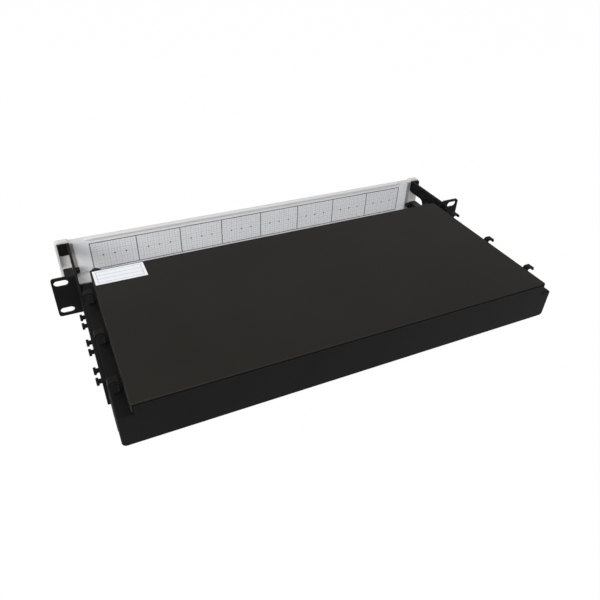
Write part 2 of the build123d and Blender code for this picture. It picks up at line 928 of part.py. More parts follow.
# Door panel: a hollow strip with a rounded lip along its top and a ledge that reaches back to the sill
def make_door_panel():
    door_lip_half = cap_inner - door_lip_end
    ledge_rear = sill_front - ledge_gap
    with BuildPart() as door:
        with BuildSketch(Plane.YZ.offset(-cap_inner)) as section:
            with BuildLine():
                Polyline(
                    (door_plane, panel_bottom),
                    (door_inner, panel_bottom),
                    (door_inner, door_top),
                    (door_plane, door_top),
                    close=True,
                )
            make_face()
            outer_corners = section.vertices().group_by(Axis.X)[0]
            fillet(outer_corners, door_edge)
            with BuildLine():
                Polyline(
                    (door_plane + door_wall, panel_bottom + door_wall),
                    (door_inner - door_wall, panel_bottom + door_wall),
                    (door_inner - door_wall, door_top - door_wall),
                    (door_plane + door_wall, door_top - door_wall),
                    close=True,
                )
            make_face(mode=Mode.SUBTRACT)
        extrude(amount=2 * cap_inner)
        with BuildSketch(Plane.XY.offset(panel_bottom)):
            with Locations((0, (door_inner + ledge_rear) / 2)):
                Rectangle(2 * ledge_side, ledge_rear - door_inner)
        extrude(amount=label_ledge)
        with BuildSketch(Plane.YZ.offset(-door_lip_half)):
            with Locations((door_plane + door_lip_set_back, door_top)):
                Circle(door_lip)
            with Locations((door_plane + door_lip_set_back, door_top - door_wall / 2 - door_lip)):
                Rectangle(4 * door_lip, 2 * door_lip, mode=Mode.SUBTRACT)
        extrude(amount=2 * door_lip_half)
    return door


# Right end of the door: a moulded end with a rounded crown, a shallow pocket and two cheeks for the pin
def make_door_end():
    with BuildPart() as end:
        with BuildSketch(Plane.YZ.offset(cap_inner)) as profile:
            with BuildLine():
                Polyline(
                    (door_plane, panel_bottom),
                    (cap_rear, panel_bottom),
                    (cap_rear, cap_top),
                    (door_plane, cap_top),
                    close=True,
                )
            make_face()
            fillet(profile.vertices().sort_by_distance((door_plane, cap_top))[0], cap_crown)
            fillet(profile.vertices().sort_by_distance((door_plane, panel_bottom))[0], door_edge)
        extrude(amount=cap_width)
        with BuildSketch(Plane.XZ.offset(-cap_rear)) as face:
            with BuildLine():
                Polyline(
                    (cap_inner, panel_bottom),
                    (cap_side, panel_bottom),
                    (cap_side, cap_top),
                    (cap_inner, cap_top),
                    close=True,
                )
            make_face()
            fillet(face.vertices().sort_by_distance((cap_side, cap_top))[0], cap_corner)
            fillet(face.vertices().sort_by_distance((cap_inner, cap_top))[0], cap_inner_corner)
        extrude(amount=cap_rear - door_plane, mode=Mode.INTERSECT)
        pocket_bottom = panel_bottom + notch_height + cap_low_rim
        with BuildSketch(Plane.XZ.offset(-cap_rear)):
            with BuildLine():
                Polyline(
                    (cap_inner + cap_rim, pocket_bottom),
                    (cap_side - cap_rim, pocket_bottom),
                    (cap_side - cap_rim, cap_top - cap_rim),
                    (cap_inner + cap_rim, cap_top - cap_rim),
                    close=True,
                )
            make_face()
        extrude(amount=cap_pocket, mode=Mode.SUBTRACT)
        notch_inner = cap_inner + cap_rim + seat_gap + slip_gap
        with BuildSketch(Plane.XZ.offset(-cap_rear)):
            with BuildLine():
                Polyline(
                    (notch_inner, panel_bottom - cut_over),
                    (cap_side - cheek_outer, panel_bottom - cut_over),
                    (cap_side - cheek_outer, panel_bottom + notch_height),
                    (notch_inner, panel_bottom + notch_height),
                    close=True,
                )
            make_face()
        extrude(amount=cap_rear - door_plane + cut_over, mode=Mode.SUBTRACT)
        with BuildSketch(Plane.YZ.offset(cap_inner - cut_over)):
            with Locations((hinge_y, hinge_z)):
                Circle(hinge_pin + pin_running_gap)
        extrude(amount=cap_width + 2 * cut_over, mode=Mode.SUBTRACT)
    return end


# A thin upright sheet on the back of the door
def make_door_sheet(first_x, last_x, rear_of, thick):
    with BuildPart() as sheet:
        with BuildSketch(Plane.XZ.offset(-rear_of - thick)):
            with Locations(((first_x + last_x) / 2, (label_bottom + label_top) / 2)):
                Rectangle(last_x - first_x, label_top - label_bottom)
        extrude(amount=thick)
    return sheet


# End stops that keep the card and its window in place
def make_label_stops():
    stop = make_door_sheet(label_side, cap_inner, door_inner, card_thick + window_thick + slip_gap)
    with BuildPart() as stops:
        add(stop.part)
        mirror(stop.part, about=Plane.YZ)
    return stops


# Rubber edging of the right cable entry, clipped over the edge of the wall
def make_grommet():
    inner_length = entry_length - 2 * grommet_web
    inner_height = entry_height - 2 * grommet_web
    wall_inner = tray_side - tray_sheet
    with BuildPart() as grommet:
        for start, thick, grow in (
            (tray_side, grommet_lip_thick, grommet_lip),
            (wall_inner, tray_sheet, -slip_gap / 2),
            (wall_inner - grommet_lip_thick, grommet_lip_thick, grommet_lip),
        ):
            with BuildSketch(Plane.YZ.offset(start)):
                with Locations((entry_y, entry_z)):
                    SlotOverall(entry_length + 2 * grow, entry_height + 2 * grow)
                    SlotOverall(inner_length, inner_height, mode=Mode.SUBTRACT)
            extrude(amount=thick)
    return grommet


# Cable anchors inside the entries: a folded foot with a T-shaped upstand for a cable tie
def make_cable_anchors():
    anchor_x = tray_side - anchor_set_in
    upstand_y = entry_y + anchor_foot / 2
    with BuildPart() as anchors:
        with BuildSketch(Plane.XY.offset(floor_top)):
            with Locations((anchor_x, entry_y)):
                Rectangle(anchor_width, anchor_foot)
        extrude(amount=anchor_sheet)
        with BuildSketch(Plane.XZ.offset(-upstand_y)):
            with Locations((anchor_x, floor_top + anchor_height / 2)):
                Rectangle(anchor_neck, anchor_height)
            with Locations((anchor_x, floor_top + anchor_height - anchor_head / 2)):
                RectangleRounded(anchor_width, anchor_head, anchor_corner)
        extrude(amount=anchor_sheet)
        mirror(about=Plane.YZ)
    return anchors


# Bend guides: half spools on the floor that keep the slack fibre from bending too tightly
def make_bend_guides():
    guide_x = tray_side - guide_set_in
    with BuildPart() as guides:
        with BuildSketch(Plane.XY.offset(floor_top)):
            with Locations((guide_x, guide_y)):
                Circle(guide_radius)
                Circle(guide_radius - guide_wall, mode=Mode.SUBTRACT)
                with Locations((-guide_radius / 2, 0)):
                    Rectangle(guide_radius, 2 * guide_radius, mode=Mode.SUBTRACT)
        extrude(amount=guide_height)
        with BuildSketch(Plane.XY.offset(floor_top)):
            with Locations((guide_x, guide_y)):
                Circle(guide_radius)
                Circle(guide_radius - guide_foot, mode=Mode.SUBTRACT)
                with Locations((-guide_radius / 2, 0)):
                    Rectangle(guide_radius, 2 * guide_radius, mode=Mode.SUBTRACT)
        extrude(amount=guide_wall)
        mirror(about=Plane.YZ)
    return guides


shell = make_shell()
finish(make_tray(shell), "tray")
finish(make_carrier(), "front_carrier")
finish(make_top_cover(), "top_cover")
finish(make_cover_label(), "cover_label")
finish(make_plunger(), "cover_plunger")

for side_piece, node in (
    (make_tray_side(shell), "tray_side"),
    (make_bracket(), "bracket"),
    (make_strap_hooks(), "strap_hooks"),
    (make_hinge_block(), "hinge_block"),
    (make_hinge_clip(), "hinge_clip"),
    (make_door_catch(), "door_catch"),
    (make_door_end(), "door_end"),
    (make_grommet(), "cable_grommet"),
):
    finish(side_piece, f"{node}_right")
    finish(other_side(side_piece), f"{node}_left")

finish(make_bracket_screws(), "bracket_screws")
finish(make_front_sill(), "front_sill")
finish(make_hinge_pins(), "hinge_pins")
finish(make_door_panel(), "door_panel")
finish(make_door_sheet(-label_side, label_side, door_inner, card_thick), "label_card")
window_front = door_inner + card_thick + window_gap
finish(make_door_sheet(-label_side, label_side, window_front, window_thick), "label_window")
finish(make_label_stops(), "label_stops")
finish(make_cable_anchors(), "cable_anchors")
finish(make_bend_guides(), "bend_guides")
finish(make_trunk_adapters(), "trunk_adapters")
finish(make_trunk_caps(), "trunk_caps")
finish(make_dust_caps(), "dust_caps")

for index in range(module_count):
    finish(make_module_housing(index), f"module_{index + 1}_housing")
    finish(make_module_lid(index), f"module_{index + 1}_lid")
    finish(make_module_ports(index), f"module_{index + 1}_ports")
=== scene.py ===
import json
import math

import bmesh
import bpy
from mathutils import Matrix, Vector


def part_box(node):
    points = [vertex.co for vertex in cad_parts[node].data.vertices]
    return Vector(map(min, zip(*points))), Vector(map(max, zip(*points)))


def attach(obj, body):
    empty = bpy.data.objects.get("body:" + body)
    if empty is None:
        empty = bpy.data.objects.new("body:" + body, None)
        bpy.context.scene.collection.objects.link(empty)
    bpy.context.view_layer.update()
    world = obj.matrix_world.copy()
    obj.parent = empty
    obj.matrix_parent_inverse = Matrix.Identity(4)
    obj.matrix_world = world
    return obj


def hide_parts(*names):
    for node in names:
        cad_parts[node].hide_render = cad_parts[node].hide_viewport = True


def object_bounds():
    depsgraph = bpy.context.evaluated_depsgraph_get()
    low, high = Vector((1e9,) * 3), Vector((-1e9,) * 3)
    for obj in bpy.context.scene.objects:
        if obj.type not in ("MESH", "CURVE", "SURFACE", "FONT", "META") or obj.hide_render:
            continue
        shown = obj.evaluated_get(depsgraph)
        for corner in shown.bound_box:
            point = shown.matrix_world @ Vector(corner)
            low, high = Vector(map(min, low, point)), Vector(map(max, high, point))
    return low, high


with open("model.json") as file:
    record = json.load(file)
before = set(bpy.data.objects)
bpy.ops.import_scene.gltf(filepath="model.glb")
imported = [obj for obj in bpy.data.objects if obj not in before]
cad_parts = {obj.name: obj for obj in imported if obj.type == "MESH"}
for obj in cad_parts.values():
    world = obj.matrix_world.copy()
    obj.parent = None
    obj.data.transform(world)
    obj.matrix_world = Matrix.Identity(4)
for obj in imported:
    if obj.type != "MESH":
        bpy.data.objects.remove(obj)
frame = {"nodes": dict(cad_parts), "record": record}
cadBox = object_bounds()
print("frame loaded:", len(frame["nodes"]), "nodes")

mm = 0.001


# Short forms for building node trees

def addNode(tree, kind, links=None, **values):
    node = tree.nodes.new(kind)
    for name, value in values.items():
        setattr(node, name, value)
    for socket, source in (links or {}).items():
        if isinstance(source, bpy.types.NodeSocket):
            tree.links.new(source, node.inputs[socket])
        else:
            node.inputs[socket].default_value = source
    return node


def math2(tree, operation, first, second=0.0):
    return addNode(tree, "ShaderNodeMath", {0: first, 1: second}, operation=operation).outputs[0]


def mixColour(tree, factor, first, second, kind="MIX"):
    node = addNode(tree, "ShaderNodeMix", data_type="RGBA", blend_type=kind)
    for socket, source in ((0, factor), (6, first), (7, second)):
        if isinstance(source, bpy.types.NodeSocket):
            tree.links.new(source, node.inputs[socket])
        else:
            node.inputs[socket].default_value = source
    return node.outputs[2]


def noise(tree, place, scale, detail=2.0, rough=0.5):
    node = addNode(tree, "ShaderNodeTexNoise", {"Vector": place, "Scale": scale, "Detail": detail, "Roughness": rough})
    return node.outputs["Fac"]


def spread(tree, value, low, high, toLow, toHigh):
    node = addNode(tree, "ShaderNodeMapRange", {0: value, 1: low, 2: high, 3: toLow, 4: toHigh})
    return node.outputs[0]


# the part of a noise's values that each use spreads over its own range
bands = {"middle": (0.3, 0.7), "blotch": (0.35, 0.7), "speck": (0.62, 0.72), "stain": (0.4, 0.7), "ink": (0.35, 0.65)}


def overBand(tree, value, band, toLow, toHigh):
    return spread(tree, value, *bands[band], toLow, toHigh)


def roughen(tree, shader, look, value, below, above):
    rough = overBand(tree, value, "middle", look["rough"] - below, look["rough"] + above)
    tree.links.new(rough, shader.inputs["Roughness"])


def addRelief(tree, shader, look, height):
    bump = addNode(tree, "ShaderNodeBump", {"Strength": look["relief"], "Distance": look["peel"], "Height": height})
    tree.links.new(bump.outputs[0], shader.inputs["Normal"])


def startMaterial(name, base):
    material = bpy.data.materials.new(name)
    material.use_nodes = True
    material.diffuse_color = (*base[:3], 1.0)
    tree = material.node_tree
    tree.nodes.clear()
    shader = addNode(tree, "ShaderNodeBsdfPrincipled")
    out = addNode(tree, "ShaderNodeOutputMaterial")
    tree.links.new(shader.outputs[0], out.inputs[0])
    place = addNode(tree, "ShaderNodeTexCoord").outputs["Object"]
    return material, tree, shader, place


# how much of an edge a point is: 0 on flats, 1 on sharp corners
edgeLimits = {"samples": 4, "flatDot": 0.995, "sharpDot": 0.8}


def edgeMask(tree, radius):
    rounded = addNode(tree, "ShaderNodeBevel", {"Radius": radius}, samples=edgeLimits["samples"]).outputs[0]
    flat = addNode(tree, "ShaderNodeNewGeometry").outputs["Normal"]
    dot = addNode(tree, "ShaderNodeVectorMath", {0: rounded, 1: flat}, operation="DOT_PRODUCT").outputs["Value"]
    return spread(tree, dot, edgeLimits["flatDot"], edgeLimits["sharpDot"], 0.0, 1.0)


# Finishes: one function for each kind, and one dictionary for each slot

# the flecks of a powder coat are finer than its grain by this factor
fleckFineness = 2.2


def powderCoat(name, look):
    material, tree, shader, place = startMaterial(name, look["tone"])
    blotch = noise(tree, place, look["blotchScale"], 3.0)
    grain = noise(tree, place, look["grainScale"], 2.0, 0.6)
    tone = (*look["tone"], 1.0)
    worn = (*look["worn"], 1.0)
    dusty = (*look["dusty"], 1.0)
    base = mixColour(tree, overBand(tree, blotch, "blotch", 0.0, 1.0), tone, dusty)
    fleck = noise(tree, place, look["grainScale"] * fleckFineness, 1.0)
    base = mixColour(tree, overBand(tree, fleck, "speck", 0.0, look["speck"]), base, worn)
    edge = math2(tree, "MULTIPLY", edgeMask(tree, look["edge"]), overBand(tree, grain, "middle", 0.3, 1.0))
    base = mixColour(tree, math2(tree, "MULTIPLY", edge, look["wear"]), base, worn)
    tree.links.new(base, shader.inputs["Base Color"])
    roughen(tree, shader, look, grain, below=0.05, above=0.07)
    shader.inputs["Specular IOR Level"].default_value = look["gloss"]
    addRelief(tree, shader, look, grain)
    return material


def moulded(name, look):
    material, tree, shader, place = startMaterial(name, look["tone"])
    stretched = addNode(tree, "ShaderNodeMapping", {"Vector": place, "Scale": look["stretch"]}).outputs[0]
    cloud = noise(tree, stretched, look["cloudScale"], 3.0)
    grain = noise(tree, place, look["grainScale"], 2.0, 0.65)
    base = mixColour(tree, overBand(tree, cloud, "middle", 0.0, 1.0), (*look["tone"], 1.0), (*look["shade"], 1.0))
    if look["wear"] > 0.0:
        edge = math2(tree, "MULTIPLY", edgeMask(tree, look["edge"]), look["wear"])
        base = mixColour(tree, edge, base, (*look["worn"], 1.0))
    tree.links.new(base, shader.inputs["Base Color"])
    roughen(tree, shader, look, grain, below=0.06, above=0.06)
    shader.inputs["Specular IOR Level"].default_value = look["gloss"]
    addRelief(tree, shader, look, grain)
    return material


def paper(name, look):
    material, tree, shader, place = startMaterial(name, look["tone"])
    pulp = noise(tree, place, look["pulpScale"], 4.0, 0.6)
    cloud = noise(tree, place, look["cloudScale"], 2.0)
    base = mixColour(tree, overBand(tree, pulp, "middle", 0.0, 1.0), (*look["tone"], 1.0), (*look["shade"], 1.0))
    base = mixColour(tree, overBand(tree, cloud, "stain", 0.0, look["stain"]), base, (*look["stained"], 1.0))
    tree.links.new(base, shader.inputs["Base Color"])
    roughen(tree, shader, look, pulp, below=0.04, above=0.05)
    shader.inputs["Specular IOR Level"].default_value = look["gloss"]
    addRelief(tree, shader, look, pulp)
    return material


def turnedSteel(name, look):
    material, tree, shader, place = startMaterial(name, look["tone"])
    stretched = addNode(tree, "ShaderNodeMapping", {"Vector": place, "Scale": look["stretch"]}).outputs[0]
    lines = noise(tree, stretched, look["lineScale"], 3.0, 0.7)
    base = mixColour(tree, overBand(tree, lines, "middle", 0.0, 1.0), (*look["tone"], 1.0), (*look["shade"], 1.0))
    edge = math2(tree, "MULTIPLY", edgeMask(tree, look["edge"]), look["wear"])
    base = mixColour(tree, edge, base, (*look["worn"], 1.0))
    tree.links.new(base, shader.inputs["Base Color"])
    shader.inputs["Metallic"].default_value = 1.0
    roughen(tree, shader, look, lines, below=0.06, above=0.08)
    addRelief(tree, shader, look, lines)
    return material


def clearStrip(name, look):
    material, tree, shader, place = startMaterial(name, look["tone"])
    waves = noise(tree, place, look["waveScale"], 2.0)
    base = mixColour(tree, waves, (*look["tone"], 1.0), (*look["shade"], 1.0))
    tree.links.new(base, shader.inputs["Base Color"])
    roughen(tree, shader, look, waves, below=0.0, above=0.08)
    shader.inputs["Alpha"].default_value = look["cover"]
    addRelief(tree, shader, look, waves)
    return material


finishes = {
    # The tray's coat and the cover's coat are one paint: the tray's copy is darker and cooler as painted shade, the
    # cover's copy lighter and warmer as painted light
    "black_powder_coat": (powderCoat, {
        "tone": (0.0052, 0.0052, 0.0055), "dusty": (0.0066, 0.0066, 0.0069), "worn": (0.045, 0.045, 0.046),
        "blotchScale": 14.0, "grainScale": 1500.0, "speck": 0.06, "edge": 0.0006, "wear": 0.3, "rough": 0.52,
        "gloss": 0.055, "relief": 0.5, "peel": 0.00004}),
    # the lighter, warmer copy of the tray's paint, as painted light on the cover
    "black_cover_coat": (powderCoat, {
        "tone": (0.0188, 0.0168, 0.0153), "dusty": (0.0216, 0.0194, 0.0177), "worn": (0.07, 0.067, 0.062),
        "blotchScale": 9.0, "grainScale": 1500.0, "speck": 0.06, "edge": 0.0006, "wear": 0.3, "rough": 0.5,
        "gloss": 0.03, "relief": 0.5, "peel": 0.00004}),
    "black_plastic": (moulded, {
        "tone": (0.008, 0.008, 0.0085), "shade": (0.011, 0.011, 0.0115), "worn": (0.04, 0.04, 0.04),
        "stretch": (1.0, 1.0, 1.0), "cloudScale": 60.0, "grainScale": 2200.0, "edge": 0.0004, "wear": 0.2,
        "rough": 0.45, "gloss": 0.12, "relief": 0.4, "peel": 0.00003}),
    "hinge_plastic": (moulded, {
        "tone": (0.0125, 0.0124, 0.0120), "shade": (0.0155, 0.0153, 0.0148), "worn": (0.06, 0.06, 0.058),
        "stretch": (1.0, 1.0, 1.0), "cloudScale": 60.0, "grainScale": 1800.0, "edge": 0.0006, "wear": 0.35,
        "rough": 0.5, "gloss": 0.15, "relief": 0.5, "peel": 0.00004}),
    "door_plastic": (moulded, {
        "tone": (0.655, 0.65, 0.65), "shade": (0.62, 0.615, 0.616), "worn": (0.72, 0.715, 0.715),
        "stretch": (0.15, 1.0, 1.0), "cloudScale": 40.0, "grainScale": 1800.0, "edge": 0.0008, "wear": 0.3,
        "rough": 0.5, "gloss": 0.35, "relief": 0.4, "peel": 0.00003}),
    "sill_plastic": (moulded, {
        "tone": (0.75, 0.745, 0.745), "shade": (0.71, 0.705, 0.706), "worn": (0.72, 0.715, 0.715),
        "stretch": (0.15, 1.0, 1.0), "cloudScale": 40.0, "grainScale": 1800.0, "edge": 0.0004, "wear": 0.3,
        "rough": 0.5, "gloss": 0.35, "relief": 0.4, "peel": 0.00003}),
    "grey_plastic": (moulded, {
        "tone": (0.30, 0.296, 0.29), "shade": (0.27, 0.267, 0.262), "worn": (0.38, 0.38, 0.38),
        "stretch": (1.0, 1.0, 1.0), "cloudScale": 50.0, "grainScale": 1800.0, "edge": 0.0005, "wear": 0.2,
        "rough": 0.5, "gloss": 0.35, "relief": 0.4, "peel": 0.00003}),
    "card_paper": (paper, {
        "tone": (0.865, 0.88, 0.915), "shade": (0.84, 0.86, 0.895), "stained": (0.81, 0.84, 0.875),
        "stain": 0.3, "pulpScale": 900.0, "cloudScale": 12.0, "rough": 0.6, "gloss": 0.3, "relief": 0.3,
        "peel": 0.00002}),
    "label_paper": (paper, {
        "tone": (0.82, 0.86, 0.92), "shade": (0.80, 0.84, 0.90), "stained": (0.78, 0.81, 0.86), "stain": 0.3,
        "pulpScale": 1200.0, "cloudScale": 40.0, "rough": 0.35, "gloss": 0.3, "relief": 0.3, "peel": 0.00001}),
    "clear_film": (clearStrip, {
        "tone": (0.9, 0.93, 0.95), "shade": (0.86, 0.9, 0.93), "waveScale": 30.0, "rough": 0.12, "cover": 0.1,
        "relief": 0.2, "peel": 0.00005}),
    "screw_steel": (turnedSteel, {
        "tone": (0.06, 0.06, 0.06), "shade": (0.045, 0.045, 0.046), "worn": (0.25, 0.25, 0.25),
        "stretch": (1.0, 1.0, 1.0), "lineScale": 900.0, "edge": 0.0003, "wear": 0.5, "rough": 0.42,
        "relief": 0.4, "peel": 0.00001}),
    "magnet_plate": (turnedSteel, {
        "tone": (0.55, 0.55, 0.56), "shade": (0.48, 0.48, 0.49), "worn": (0.75, 0.75, 0.75),
        "stretch": (1.0, 1.0, 1.0), "lineScale": 600.0, "edge": 0.0003, "wear": 0.5, "rough": 0.26,
        "relief": 0.4, "peel": 0.00001}),
    "black_rubber": (moulded, {
        "tone": (0.010, 0.010, 0.010), "shade": (0.014, 0.014, 0.014), "worn": (0.05, 0.05, 0.05),
        "stretch": (1.0, 1.0, 1.0), "cloudScale": 80.0, "grainScale": 2500.0, "edge": 0.0004, "wear": 0.0,
        "rough": 0.72, "gloss": 0.1, "relief": 0.6, "peel": 0.00004}),
    "module_plastic": (moulded, {
        "tone": (0.030, 0.030, 0.032), "shade": (0.036, 0.036, 0.038), "worn": (0.07, 0.07, 0.07),
        "stretch": (1.0, 1.0, 1.0), "cloudScale": 40.0, "grainScale": 1400.0, "edge": 0.0005, "wear": 0.2,
        "rough": 0.55, "gloss": 0.25, "relief": 0.7, "peel": 0.00006}),
    "port_plastic": (moulded, {
        "tone": (0.02, 0.09, 0.36), "shade": (0.022, 0.1, 0.39), "worn": (0.1, 0.2, 0.5),
        "stretch": (1.0, 1.0, 1.0), "cloudScale": 90.0, "grainScale": 2500.0, "edge": 0.0003, "wear": 0.2,
        "rough": 0.32, "gloss": 0.4, "relief": 0.2, "peel": 0.00002}),
    "cap_plastic": (moulded, {
        "tone": (0.50, 0.52, 0.53), "shade": (0.46, 0.48, 0.49), "worn": (0.64, 0.66, 0.66),
        "stretch": (1.0, 1.0, 1.0), "cloudScale": 120.0, "grainScale": 2500.0, "edge": 0.0003, "wear": 0.3,
        "rough": 0.4, "gloss": 0.4, "relief": 0.2, "peel": 0.00002}),
    "trunk_plastic": (moulded, {
        "tone": (0.014, 0.014, 0.016), "shade": (0.019, 0.019, 0.021), "worn": (0.05, 0.05, 0.05),
        "stretch": (1.0, 1.0, 1.0), "cloudScale": 90.0, "grainScale": 2200.0, "edge": 0.0003, "wear": 0.2,
        "rough": 0.45, "gloss": 0.3, "relief": 0.3, "peel": 0.00003}),
}
coats = {slot: build(slot.replace("_", "-"), look) for slot, (build, look) in finishes.items()}

slotOf = {item["node"]: item["material_slot"] for item in frame["record"]["subparts"]}
for node, piece in frame["nodes"].items():
    coat = coats[slotOf[node]]
    piece.data.materials.clear()
    piece.data.materials.append(coat)
print("finishes on", len(slotOf), "nodes")


# Geometry node trees for the print on the card and the label

def startTree(name, inputs):
    tree = bpy.data.node_groups.new(name, "GeometryNodeTree")
    sockets = {}
    for label, kind, value in inputs:
        socket = tree.interface.new_socket(name=label, in_out="INPUT", socket_type=kind)
        if value is not None:
            socket.default_value = value
        sockets[label] = socket.identifier
    tree.interface.new_socket(name="Geometry", in_out="OUTPUT", socket_type="NodeSocketGeometry")
    start = addNode(tree, "NodeGroupInput")
    end = addNode(tree, "NodeGroupOutput")
    return tree, sockets, start, end


# runs the tree on an empty mesh and keeps the result as a plain mesh object attached to the given body
def growPiece(name, tree, sockets, sizes, body):
    seed = bpy.data.objects.new(name + "Seed", bpy.data.meshes.new(name + "Seed"))
    bpy.context.scene.collection.objects.link(seed)
    modifier = seed.modifiers.new(name, "NODES")
    modifier.node_group = tree
    for label, value in sizes.items():
        modifier[sockets[label]] = value
    bpy.context.view_layer.update()
    result = seed.evaluated_get(bpy.context.evaluated_depsgraph_get())
    mesh = bpy.data.meshes.new_from_object(result)
    seed.modifiers.remove(modifier)
    bpy.data.objects.remove(seed)
    mesh.name = name
    piece = bpy.data.objects.new(name, mesh)
    bpy.context.scene.collection.objects.link(piece)
    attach(piece, body)


def combine(tree, x, y, z):
    return addNode(tree, "ShaderNodeCombineXYZ", {0: x, 1: y, 2: z}).outputs[0]


# a row of equal bars: the row runs along one axis, and each bar is a box
def barRow(tree, count, start, step, size):
    line = addNode(tree, "GeometryNodeMeshLine", {"Count": count, "Start Location": start, "Offset": step})
    bar = addNode(tree, "GeometryNodeMeshCube", {"Size": size})
    row = addNode(tree, "GeometryNodeInstanceOnPoints", {"Points": line.outputs[0], "Instance": bar.outputs[0]})
    return row.outputs[0]


# Ruled print: an outline with upright and level rules, flat in X and Z
def makeRuledTree():
    tree, sockets, start, end = startTree("ruledPrint", [
        ("Width", "NodeSocketFloat", 0.4), ("Height", "NodeSocketFloat", 0.03),
        ("Columns", "NodeSocketInt", 8), ("Rows", "NodeSocketInt", 1),
        ("Rule", "NodeSocketFloat", 0.0005), ("Thick", "NodeSocketFloat", 0.00002),
        ("Place", "NodeSocketVector", (0.0, 0.0, 0.0)), ("Turn", "NodeSocketVector", (0.0, 0.0, 0.0)),
        ("Ink", "NodeSocketMaterial", None)])
    given = start.outputs
    halfWide = math2(tree, "MULTIPLY", given["Width"], -0.5)
    halfHigh = math2(tree, "MULTIPLY", given["Height"], -0.5)
    stepX = math2(tree, "DIVIDE", given["Width"], given["Columns"])
    stepZ = math2(tree, "DIVIDE", given["Height"], given["Rows"])
    tallBar = combine(tree, given["Rule"], given["Thick"], math2(tree, "ADD", given["Height"], given["Rule"]))
    uprights = barRow(tree, math2(tree, "ADD", given["Columns"], 1.0), combine(tree, halfWide, 0.0, 0.0),
                      combine(tree, stepX, 0.0, 0.0), tallBar)
    wideBar = combine(tree, given["Width"], given["Thick"], given["Rule"])
    levels = barRow(tree, math2(tree, "ADD", given["Rows"], 1.0), combine(tree, 0.0, 0.0, halfHigh),
                    combine(tree, 0.0, 0.0, stepZ), wideBar)
    both = addNode(tree, "GeometryNodeJoinGeometry")
    tree.links.new(uprights, both.inputs[0])
    tree.links.new(levels, both.inputs[0])
    plain = addNode(tree, "GeometryNodeRealizeInstances", {0: both.outputs[0]}).outputs[0]
    placed = addNode(tree, "GeometryNodeTransform", {
        0: plain, "Translation": given["Place"], "Rotation": given["Turn"]}).outputs[0]
    inked = addNode(tree, "GeometryNodeSetMaterial", {0: placed, "Material": given["Ink"]}).outputs[0]
    tree.links.new(inked, end.inputs[0])
    return tree, sockets


# Port marks: a row of round dots for each field of the card
dotCorners = 24


def makeDotTree():
    tree, sockets, start, end = startTree("portMarks", [
        ("Fields", "NodeSocketInt", 8), ("Field Pitch", "NodeSocketFloat", 0.0495),
        ("Dots", "NodeSocketInt", 3), ("Dot Pitch", "NodeSocketFloat", 0.0124),
        ("Radius", "NodeSocketFloat", 0.0008), ("Thick", "NodeSocketFloat", 0.00003),
        ("Place", "NodeSocketVector", (0.0, 0.0, 0.0)), ("Ink", "NodeSocketMaterial", None)])
    given = start.outputs
    dot = addNode(tree, "GeometryNodeMeshCylinder", {
        "Vertices": dotCorners, "Radius": given["Radius"], "Depth": given["Thick"]})
    upright = addNode(tree, "GeometryNodeTransform", {
        0: dot.outputs[0], "Rotation": (math.pi / 2, 0.0, 0.0)}).outputs[0]
    dots = addNode(tree, "GeometryNodeMeshLine", {
        "Count": given["Dots"], "Offset": combine(tree, given["Dot Pitch"], 0.0, 0.0)})
    row = addNode(tree, "GeometryNodeInstanceOnPoints", {"Points": dots.outputs[0], "Instance": upright}).outputs[0]
    fields = addNode(tree, "GeometryNodeMeshLine", {
        "Count": given["Fields"], "Start Location": given["Place"],
        "Offset": combine(tree, given["Field Pitch"], 0.0, 0.0)})
    rows = addNode(tree, "GeometryNodeInstanceOnPoints", {"Points": fields.outputs[0], "Instance": row}).outputs[0]
    plain = addNode(tree, "GeometryNodeRealizeInstances", {0: rows}).outputs[0]
    inked = addNode(tree, "GeometryNodeSetMaterial", {0: plain, "Material": given["Ink"]}).outputs[0]
    tree.links.new(inked, end.inputs[0])
    return tree, sockets


inkRough = 0.55


def ink(name, look):
    material, tree, shader, place = startMaterial(name, look["tone"])
    patchy = noise(tree, place, look["patchScale"], 2.0)
    base = mixColour(tree, overBand(tree, patchy, "ink", 0.0, 1.0), (*look["tone"], 1.0), (*look["thin"], 1.0))
    tree.links.new(base, shader.inputs["Base Color"])
    shader.inputs["Roughness"].default_value = inkRough
    return material


ruledTree, ruledSockets = makeRuledTree()
dotTree, dotSockets = makeDotTree()

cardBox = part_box("label_card")
printLift = 0.012 * mm
cardPrint = {
    "face": cardBox[1][1] + printLift, "width": 396.0 * mm, "height": 32.5 * mm,
    "middleX": -1.2 * mm, "middleZ": -3.1 * mm,
    "fields": 8, "dots": 3, "boldRule": 1.15 * mm, "thick": 0.02 * mm, "boldLayers": 1.5, "dotLayers": 1.8,
    "grids": (("cardFineRules", 128, 12, 0.15 * mm), ("cardMiddleRules", 64, 6, 0.26 * mm)),
    "dotPitch": 12.45 * mm, "dotRadius": 1.0 * mm, "dotZ": -3.3 * mm,
    "bold": {"tone": (0.02, 0.02, 0.022), "thin": (0.035, 0.035, 0.037), "patchScale": 500.0},
    "fine": {"tone": (0.26, 0.265, 0.27), "thin": (0.34, 0.345, 0.35), "patchScale": 500.0},
}
boldInk = ink("boldInk", cardPrint["bold"])
fineInk = ink("fineInk", cardPrint["fine"])
place = (cardPrint["middleX"], cardPrint["face"], cardPrint["middleZ"])
for name, columns, rows, rule in cardPrint["grids"]:
    growPiece(name, ruledTree, ruledSockets, {
        "Width": cardPrint["width"], "Height": cardPrint["height"], "Columns": columns, "Rows": rows, "Rule": rule,
        "Thick": cardPrint["thick"], "Place": place, "Ink": fineInk}, "door")
growPiece("cardBoldRules", ruledTree, ruledSockets, {
    "Width": cardPrint["width"], "Height": cardPrint["height"], "Columns": cardPrint["fields"], "Rows": 1,
    "Rule": cardPrint["boldRule"], "Thick": cardPrint["thick"] * cardPrint["boldLayers"],
    "Place": place, "Ink": boldInk}, "door")
firstDot = cardPrint["middleX"] - cardPrint["width"] / 2 + cardPrint["dotPitch"]
